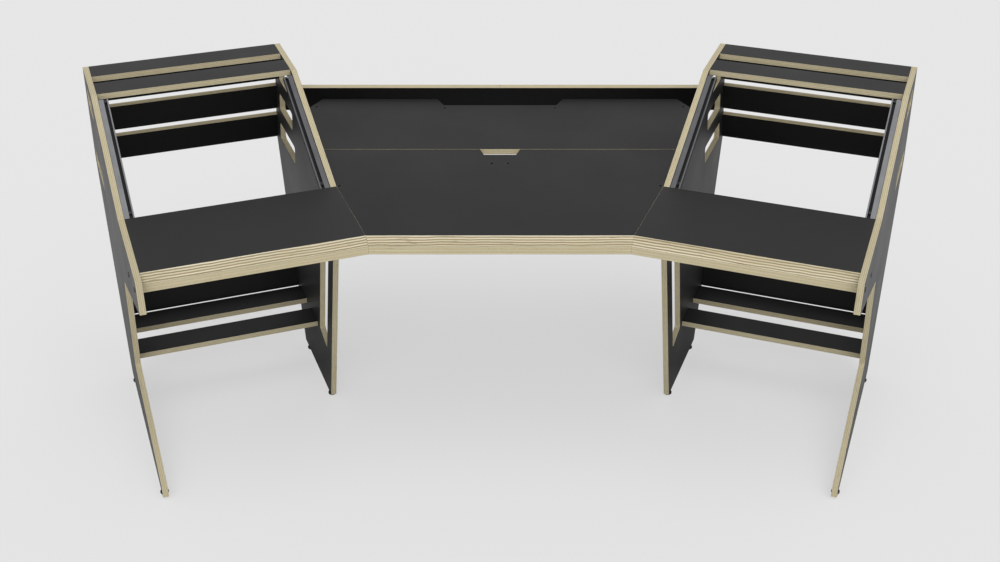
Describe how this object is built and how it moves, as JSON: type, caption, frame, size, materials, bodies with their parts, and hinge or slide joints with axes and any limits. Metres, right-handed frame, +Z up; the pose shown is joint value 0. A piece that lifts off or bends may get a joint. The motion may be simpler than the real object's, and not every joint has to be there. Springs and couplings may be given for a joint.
{
  "type": "studio desk",
  "caption": "Plywood studio desk: a centre desktop with a hinged cable lid between two angled 19-inch rack wings on open cut-out sides.",
  "frame": {"origin": "on the floor, under the middle of the desk's bounding box", "axes": "+Z up, +X to the right of the person at the desk, +Y to the back"},
  "size_m": [2.27, 1.1168, 0.9085],
  "materials": {
    "faced_plywood": "black laminate faces over birch plywood, bare layered edges",
    "bare_plywood": "bare birch plywood",
    "rail_metal": "grey anodised extrusion",
    "hinge_steel": "plain zinc-plated steel",
    "foot_plastic": "matt black plastic"
  },
  "bodies": {
    "frame": {"backboard_left": "faced_plywood", "backboard_right": "faced_plywood", "backboard_splice": "faced_plywood", "desktop": "faced_plywood", "desktop_doubler": "faced_plywood", "left_back_rail_1": "faced_plywood", "left_back_rail_2": "faced_plywood", "left_back_rail_3": "faced_plywood", "left_desk_cleat": "bare_plywood", "left_inner_side": "faced_plywood", "left_lower_back_rail": "faced_plywood", "left_outer_side": "faced_plywood", "left_rack_rail_inner": "rail_metal", "left_rack_rail_outer": "rail_metal", "left_roof_slat_front": "faced_plywood", "left_roof_slat_rear": "faced_plywood", "left_seam_batten": "bare_plywood", "left_shelf_slat_front": "faced_plywood", "left_shelf_slat_rear": "faced_plywood", "left_worktop": "faced_plywood", "left_worktop_doubler": "faced_plywood", "lid_rail": "faced_plywood", "notch_block": "bare_plywood", "rail_leaf_left_inner": "hinge_steel", "rail_leaf_left_outer": "hinge_steel", "rail_leaf_right_inner": "hinge_steel", "rail_leaf_right_outer": "hinge_steel", "right_back_rail_1": "faced_plywood", "right_back_rail_2": "faced_plywood", "right_back_rail_3": "faced_plywood", "right_desk_cleat": "bare_plywood", "right_inner_side": "faced_plywood", "right_lower_back_rail": "faced_plywood", "right_outer_side": "faced_plywood", "right_rack_rail_inner": "rail_metal", "right_rack_rail_outer": "rail_metal", "right_roof_slat_front": "faced_plywood", "right_roof_slat_rear": "faced_plywood", "right_seam_batten": "bare_plywood", "right_shelf_slat_front": "faced_plywood", "right_shelf_slat_rear": "faced_plywood", "right_worktop": "faced_plywood", "right_worktop_doubler": "faced_plywood"},
    "lid": {"lid": "faced_plywood", "lid_leaf_left_inner": "hinge_steel", "lid_leaf_left_outer": "hinge_steel", "lid_leaf_right_inner": "hinge_steel", "lid_leaf_right_outer": "hinge_steel"},
    "left_foot_inner_front": {"left_foot_inner_front": "foot_plastic"},
    "left_foot_inner_rear": {"left_foot_inner_rear": "foot_plastic"},
    "left_foot_outer_front": {"left_foot_outer_front": "foot_plastic"},
    "left_foot_outer_rear": {"left_foot_outer_rear": "foot_plastic"},
    "right_foot_inner_front": {"right_foot_inner_front": "foot_plastic"},
    "right_foot_inner_rear": {"right_foot_inner_rear": "foot_plastic"},
    "right_foot_outer_front": {"right_foot_outer_front": "foot_plastic"},
    "right_foot_outer_rear": {"right_foot_outer_rear": "foot_plastic"}
  },
  "joints": [
    {"name": "lid_hinge", "type": "hinge", "parent": "frame", "child": "lid", "pos_m": [0, 0.40074, 0.7262], "axis": [-1, 0, 0], "range_deg": [0, 94]},
    {"name": "left_foot_inner_front_thread", "type": "slide", "parent": "frame", "child": "left_foot_inner_front", "axis": [0, 0, 1], "range_m": [-0.012, 0]},
    {"name": "left_foot_inner_rear_thread", "type": "slide", "parent": "frame", "child": "left_foot_inner_rear", "axis": [0, 0, 1], "range_m": [-0.012, 0]},
    {"name": "left_foot_outer_front_thread", "type": "slide", "parent": "frame", "child": "left_foot_outer_front", "axis": [0, 0, 1], "range_m": [-0.012, 0]},
    {"name": "left_foot_outer_rear_thread", "type": "slide", "parent": "frame", "child": "left_foot_outer_rear", "axis": [0, 0, 1], "range_m": [-0.012, 0]},
    {"name": "right_foot_inner_front_thread", "type": "slide", "parent": "frame", "child": "right_foot_inner_front", "axis": [0, 0, 1], "range_m": [-0.012, 0]},
    {"name": "right_foot_inner_rear_thread", "type": "slide", "parent": "frame", "child": "right_foot_inner_rear", "axis": [0, 0, 1], "range_m": [-0.012, 0]},
    {"name": "right_foot_outer_front_thread", "type": "slide", "parent": "frame", "child": "right_foot_outer_front", "axis": [0, 0, 1], "range_m": [-0.012, 0]},
    {"name": "right_foot_outer_rear_thread", "type": "slide", "parent": "frame", "child": "right_foot_outer_rear", "axis": [0, 0, 1], "range_m": [-0.012, 0]}
  ]
}
